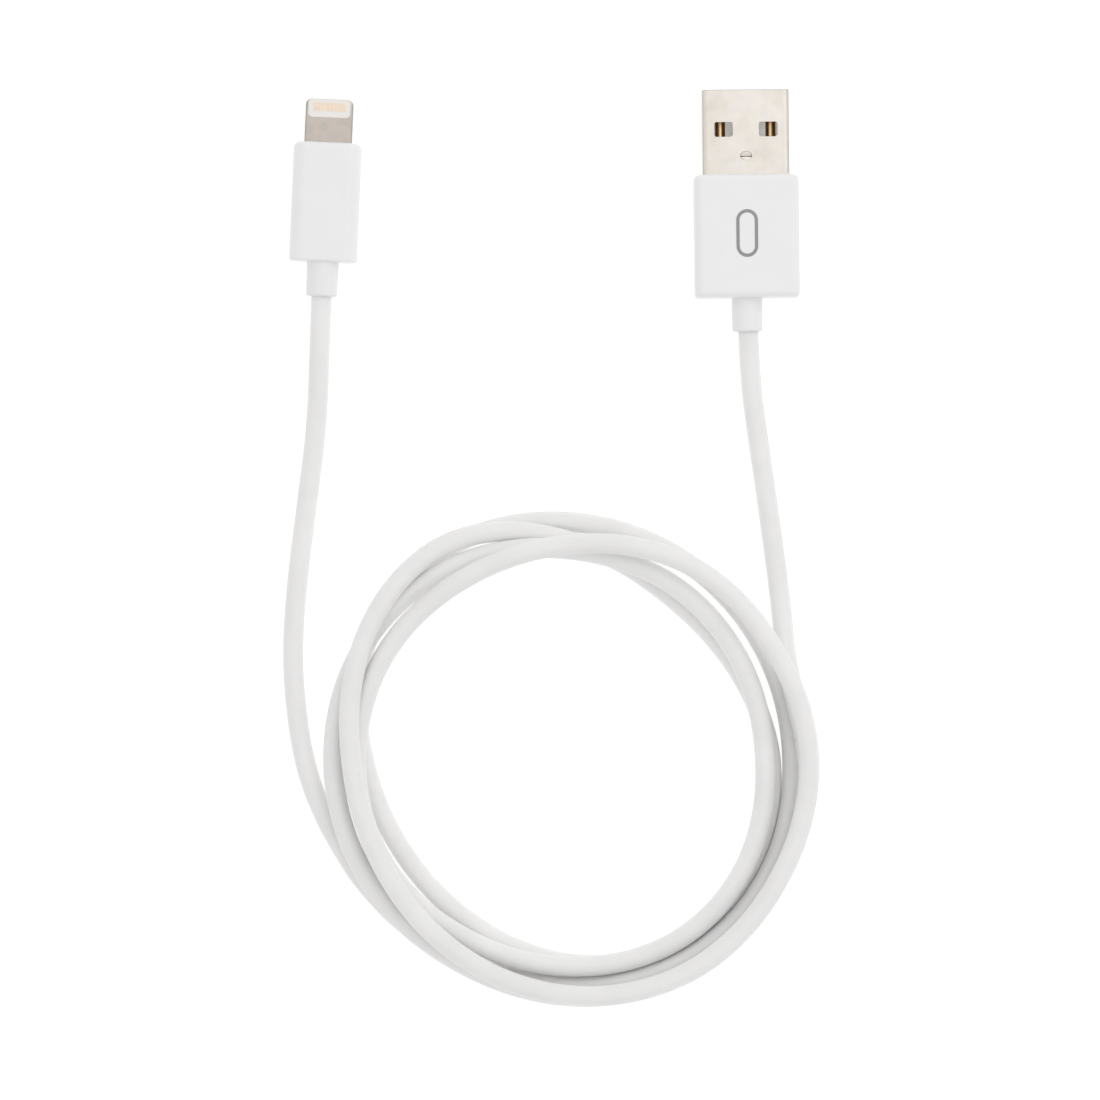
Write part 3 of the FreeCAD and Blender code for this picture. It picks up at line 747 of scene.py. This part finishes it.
def metal(name, colour, roughness, blotch, streak, spread):
    """Plated or drawn metal: blotches in its colour, fine streaks and an uneven gloss."""
    surface = Surface(name, roughness, Metallic=1.0)
    lined = surface.noise(blotch / 12, 3, surface.stretched(streak))
    patches = surface.ramp(surface.noise(blotch, 4), 0.32, 0.68, shades(colour, spread, spread))
    lines = surface.ramp(lined, *SPAN, [(1 - spread / 2,) * 3, (1, 1, 1)])
    surface.colour(surface.multiply(patches, lines))
    uneven = surface.noise(blotch / 3, 3)
    surface.gloss(surface.between(uneven, *SPAN, roughness - 0.06, roughness + 0.08))
    surface.bump(lined, 2e-6)
    return surface


def cable_jacket():
    """Satin elastomer: slow clouds, faint specks of dust, a fine dry grain and shallow waves."""
    colour = (0.866, 0.864, 0.858)
    surface = Surface("cable_jacket", 0.5, Specular_IOR_Level=0.35, Sheen_Weight=0.06, Sheen_Roughness=0.4)
    surface.let_light_in(0.4, 1.4 * MM)
    clouds = surface.ramp(surface.noise(7 * MM, 3), *SPAN, shades(colour, 0.025, 0.02))
    specks = surface.ramp(surface.noise(0.9 * MM, 2), 0.70, 0.80, [(1, 1, 1), (0.95, 0.945, 0.93)])
    surface.colour(surface.multiply(clouds, specks))
    surface.gloss(surface.between(surface.noise(2.5 * MM, 3), *SPAN, 0.44, 0.58))
    surface.bump(surface.noise(3 * MM, 2), 3e-5, 0.5)
    surface.bump(surface.noise(0.12 * MM, 4, rough=0.65), 6e-6)
    return surface


def printed_mark():
    """Grey ink, a little thin in places."""
    surface = Surface("mark_grey", 0.55, Specular_IOR_Level=0.3)
    inks = [(0.30, 0.295, 0.29), (0.35, 0.345, 0.34)]
    surface.colour(surface.ramp(surface.noise(0.25 * MM, 3), *SPAN, inks))
    surface.bump(surface.noise(0.08 * MM, 3), 3e-6)
    return surface


def plated_shell():
    """Bright nickel over steel: warm and greenish blotches, faint lines along the sheet, painted shade on
    the bends and the front lip.
    """
    surface = Surface("shell_nickel", 0.3, Metallic=1.0)
    tints = [(0.85, 0.80, 0.72), (0.90, 0.84, 0.775), (0.91, 0.86, 0.79)]
    tints += [(0.925, 0.88, 0.825), (0.94, 0.88, 0.83)]
    clouds = surface.ramp(surface.noise(4 * MM, 3), 0.34, 0.66, tints)
    lined = surface.noise(0.4 * MM, 1, surface.stretched((1, 0.1, 1)))
    small = surface.ramp(surface.noise(1.3 * MM, 3), 0.35, 0.65, [(0.975, 0.98, 0.985), (1, 0.995, 0.985)])
    lines = surface.ramp(lined, *SPAN, [(0.985, 0.985, 0.985), (1, 1, 1)])
    colour = surface.multiply(surface.multiply(clouds, lines), small)
    # Painted shade: darker where the shell bends round its sides and at its front lip
    colour = surface.painted_lean_shade(colour, "X", SHELL_LEFT + SHELL_RIGHT)
    surface.colour(surface.painted_lean_shade(colour, "Y", SHELL_FRONT))
    surface.gloss(surface.between(surface.noise(1.5 * MM, 2), *SPAN, 0.28, 0.38))
    surface.bump(lined, 1e-6)
    return surface


def tip_metal():
    """Brushed tip: rust and olive tints over warm grey, with painted shade along its side edges and wherever
    it does not lean forward.
    """
    surface = Surface("tip_metal", 0.38, Metallic=1.0)
    tints = [(0.86, 0.81, 0.725), (0.93, 0.84, 0.76), (0.97, 0.865, 0.775), (0.91, 0.85, 0.79)]
    clouds = surface.ramp(surface.noise(1.6 * MM, 4), 0.34, 0.66, tints)
    lined = surface.noise(0.11 * MM, 3, surface.stretched((0.3, 1, 1)))
    colour = surface.multiply(clouds, surface.ramp(lined, *SPAN, [(0.95, 0.95, 0.95), (1, 1, 1)]))
    # Painted shade: darker along the tip's side edges and wherever it does not lean forward
    surface.colour(surface.painted_lean_shade(surface.painted_lean_shade(colour, "X", TIP_SIDES), "Y", TIP_FRONT))
    surface.gloss(surface.between(surface.noise(0.5 * MM, 3), *SPAN, 0.32, 0.46))
    surface.bump(lined, 2e-6)
    return surface


def contact_gold():
    """Gilt strip: bright along its crown, with painted brown shade down its sides."""
    surface = Surface("contact_gold", 0.3, Metallic=1.0)
    spot = surface.node("ShaderNodeSeparateXYZ")
    surface.join(surface.place, spot.inputs["Vector"])
    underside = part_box("power_contact_ground")[0][2]
    brown, bright = (underside + rise for rise in CONTACT_SHADE_RISE)
    rise = surface.between(spot.outputs["Z"], brown, bright, 0, 1)
    # Painted shade: brown low on the strip's sides, gold on its crown
    surface.colour(surface.ramp(rise, 0, 1, [(0.22, 0.09, 0.025), (0.55, 0.27, 0.09), (1.0, 0.78, 0.48)]))
    surface.gloss(surface.between(surface.noise(0.3 * MM, 3), *SPAN, 0.24, 0.38))
    surface.bump(surface.noise(0.07 * MM, 3, surface.stretched((1, 0.1, 1))), 2e-6)
    return surface


def tongue_plastic():
    """Pale insulator on top, with painted brown shade in its grooves and a glow of painted light."""
    surface = Surface("tongue_plastic", 0.42, Specular_IOR_Level=0.25)
    spot = surface.node("ShaderNodeSeparateXYZ")
    surface.join(surface.place, spot.inputs["Vector"])
    low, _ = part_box("power_contact_ground")
    _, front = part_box("power_contact_supply")
    above = surface.between(spot.outputs["Z"], low[2], low[2] + GROOVE_SHADE_DEPTH, 0, 1)
    near, far = (front[1] + ahead for ahead in GROOVE_SHADE_END)
    ahead = surface.between(spot.outputs["Y"], near, far, 0, 1)
    either = surface.node("ShaderNodeMath", operation="MAXIMUM")
    surface.join(above, either.inputs[0])
    surface.join(ahead, either.inputs[1])
    # Painted shade: dark brown in the grooves and just in front of the longer contacts
    tint = surface.ramp(either.outputs[0], 0, 1, [(0.10, 0.038, 0.012), (0.86, 0.85, 0.82)])
    clouds = surface.ramp(surface.noise(1.2 * MM, 3), *SPAN, [(0.93, 0.93, 0.93), (1, 1, 1)])
    tint = surface.multiply(tint, clouds)
    surface.colour(tint)
    # Painted light: the insulator glows in its own colour, shade included
    surface.join(tint, surface.shader.inputs["Emission Color"])
    surface.shader.inputs["Emission Strength"].default_value = TONGUE_PAINTED_GLOW
    surface.bump(surface.noise(0.1 * MM, 4), 3e-6)
    return surface


def woven_braid():
    """Two sets of fine copper strands that cross."""
    surface = Surface("braid_copper", 0.35, Metallic=1.0)
    bands = []
    for turn in (0.7, -0.7):
        wave = surface.node("ShaderNodeTexWave", wave_type="BANDS", bands_direction="X")
        wave.inputs["Scale"].default_value = 1 / (0.9 * MM)
        surface.join(surface.stretched((1, 1, 1), turn), wave.inputs["Vector"])
        bands.append(surface.ramp(wave.outputs["Fac"], 0.1, 0.9, [(0.30, 0.12, 0.06), (0.95, 0.55, 0.36)]))
    surface.colour(surface.multiply(*bands))
    surface.bump(bands[0], 2e-5)
    return surface


def circuit_board():
    """Green solder mask with paler tracks."""
    surface = Surface("board_green", 0.35, Coat_Weight=0.4, Coat_Roughness=0.2)
    brick = surface.node("ShaderNodeTexBrick", offset=0.5)
    brick.inputs["Scale"].default_value = 1 / (2.4 * MM)
    brick.inputs["Mortar Size"].default_value = 0.03
    brick.inputs["Color1"].default_value = (0.016, 0.15, 0.06, 1)
    brick.inputs["Color2"].default_value = (0.02, 0.19, 0.075, 1)
    brick.inputs["Mortar"].default_value = (0.05, 0.3, 0.12, 1)
    surface.join(surface.place, brick.inputs["Vector"])
    surface.colour(brick.outputs["Color"])
    surface.bump(brick.outputs["Fac"], 1e-5)
    return surface


# Plain plastics: colour, roughness, how fine and deep the grain is, and how much the colour varies
PLASTICS = {
    "relief_white": ((0.885, 0.883, 0.88), 0.5, 0.14 * MM, 5e-6, 0.015),
    "mould_plastic": ((0.62, 0.60, 0.55), 0.5, 0.2 * MM, 1e-5, 0.04),
    "insulator_white": ((0.90, 0.875, 0.845), 0.4, 0.1 * MM, 2e-6, 0.015),
    "chip_black": ((0.02, 0.02, 0.022), 0.45, 0.06 * MM, 4e-6, 0.2),
    "capacitor_tan": ((0.42, 0.27, 0.14), 0.4, 0.08 * MM, 3e-6, 0.08),
    "wire_red": ((0.50, 0.03, 0.02), 0.4, 0.1 * MM, 3e-6, 0.06),
    "wire_white": ((0.75, 0.74, 0.72), 0.4, 0.1 * MM, 3e-6, 0.03),
    "wire_green": ((0.02, 0.24, 0.06), 0.4, 0.1 * MM, 3e-6, 0.06),
    "wire_black": ((0.02, 0.02, 0.02), 0.4, 0.1 * MM, 3e-6, 0.15),
}
HOUSING = ((0.905, 0.905, 0.903), 0.38, 0.10 * MM, 2e-6, 0.008)
# Plain metals: colour, roughness, how wide blotches are, how streaks stretch, and how much the colour varies
METALS = {
    # A darker copy of the shell's nickel: painted shade on the front leaf
    "tab_shaded_nickel": ((0.86, 0.81, 0.76), 0.4, 0.6 * MM, (1, 0.3, 1), 0.06),
    # A paler copy of the contacts' gold: painted light on the device plug's contacts
    "contact_pale": ((0.98, 0.80, 0.64), 0.4, 0.8 * MM, (1, 0.3, 1), 0.04),
    "can_steel": ((0.60, 0.59, 0.58), 0.32, 1.8 * MM, (0.2, 1, 1), 0.06),
    "solder": ((0.66, 0.66, 0.67), 0.25, 0.5 * MM, (1, 1, 1), 0.08),
}


def make_materials():
    """One material for each slot of the record, and two more: a darker nickel, painted shade, for the front
    leaf, and a paler gold, painted light, for the device plug's contacts.
    """
    made = {name: moulded(name, *looks) for name, looks in PLASTICS.items()}
    made |= {name: metal(name, *looks) for name, looks in METALS.items()}
    made["housing_white"] = moulded("housing_white", *HOUSING, Specular_IOR_Level=0.45)
    made["cable_jacket"] = cable_jacket()
    made["tongue_plastic"] = tongue_plastic()
    made["shell_nickel"] = plated_shell()
    made["tip_metal"] = tip_metal()
    made["contact_gold"] = contact_gold()
    made["mark_grey"] = printed_mark()
    made["braid_copper"] = woven_braid()
    made["board_green"] = circuit_board()
    return {slot: surface.material for slot, surface in made.items()}


def dress_nodes(materials):
    """Gives each CAD node the finished material of its slot, and the device plug's contacts a paler copy of
    the gold, with painted light.
    """
    for name, node in frame["nodes"].items():
        slot = node.data.materials[0].name.split(".")[0]
        if name.startswith("device_contacts"):
            # Painted light: the device contacts get the paler copy of the gold
            slot = "contact_pale"
        node.data.materials[0] = materials[slot]


# ---------------------------------------------------------------- stage and light

FLOOR_SIZE = 3.0
FLOOR_GREY = 0.3
FLOOR_GLOW = 0.79
# How bright the room is by height, from the horizon (0) to straight up (1)
ROOM = [(0.12, 0.45), (0.3, 0.82), (1.0, 0.81)]
KEY_PLACE = Vector((0.30, 0.35, 0.60))
KEY_SIZE = 0.6
KEY_POWER = 0.99


def add_floor():
    """A plain white sheet under the cable, lit from below as on a light table."""
    mesh = bpy.data.meshes.new("floor")
    half = FLOOR_SIZE / 2
    corners = [(-half, -half, 0), (half, -half, 0), (half, half, 0), (-half, half, 0)]
    mesh.from_pydata(corners, [], [(0, 1, 2, 3)])
    surface = Surface("floor_white", 0.9, Specular_IOR_Level=0.1)
    greys = [(FLOOR_GREY * part,) * 3 for part in (0.98, 1.02)]
    surface.colour(surface.ramp(surface.noise(0.05, 2), *SPAN, greys))
    surface.shader.inputs["Emission Color"].default_value = (1, 1, 1, 1)
    surface.shader.inputs["Emission Strength"].default_value = FLOOR_GLOW
    mesh.materials.append(surface.material)
    floor = bpy.data.objects.new("floor", mesh)
    bpy.context.scene.collection.objects.link(floor)


def add_key():
    """A large soft light above and beyond the plugs, facing the middle of the view."""
    data = bpy.data.lights.new("key", "AREA")
    data.size = KEY_SIZE
    data.energy = KEY_POWER
    light = bpy.data.objects.new("key", data)
    light.location = KEY_PLACE
    light.rotation_euler = (VIEW_CENTRE - light.location).to_track_quat("-Z", "Y").to_euler()
    bpy.context.scene.collection.objects.link(light)


def add_room():
    """A white room, darker low down."""
    world = bpy.data.worlds.new("studio")
    world.use_nodes = True
    tree = world.node_tree
    direction = tree.nodes.new("ShaderNodeTexCoord")
    parts = tree.nodes.new("ShaderNodeSeparateXYZ")
    walls = tree.nodes.new("ShaderNodeValToRGB")
    set_stops(walls, [(height, (grey, grey, grey)) for height, grey in ROOM])
    tree.links.new(direction.outputs["Generated"], parts.inputs["Vector"])
    tree.links.new(parts.outputs["Z"], walls.inputs["Fac"])
    tree.links.new(walls.outputs["Color"], tree.nodes["Background"].inputs["Color"])
    bpy.context.scene.world = world
    bpy.context.scene.view_settings.view_transform = "Standard"


# ---------------------------------------------------------------- putting it together

add_camera()
cable = add_cable()
materials = make_materials()
dress_nodes(materials)
add_plugs(materials)
cable.data.materials.append(materials["cable_jacket"])
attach(cable, "root")
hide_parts("power_lead", "cable_coil", "device_lead")
add_floor()
add_room()
add_key()
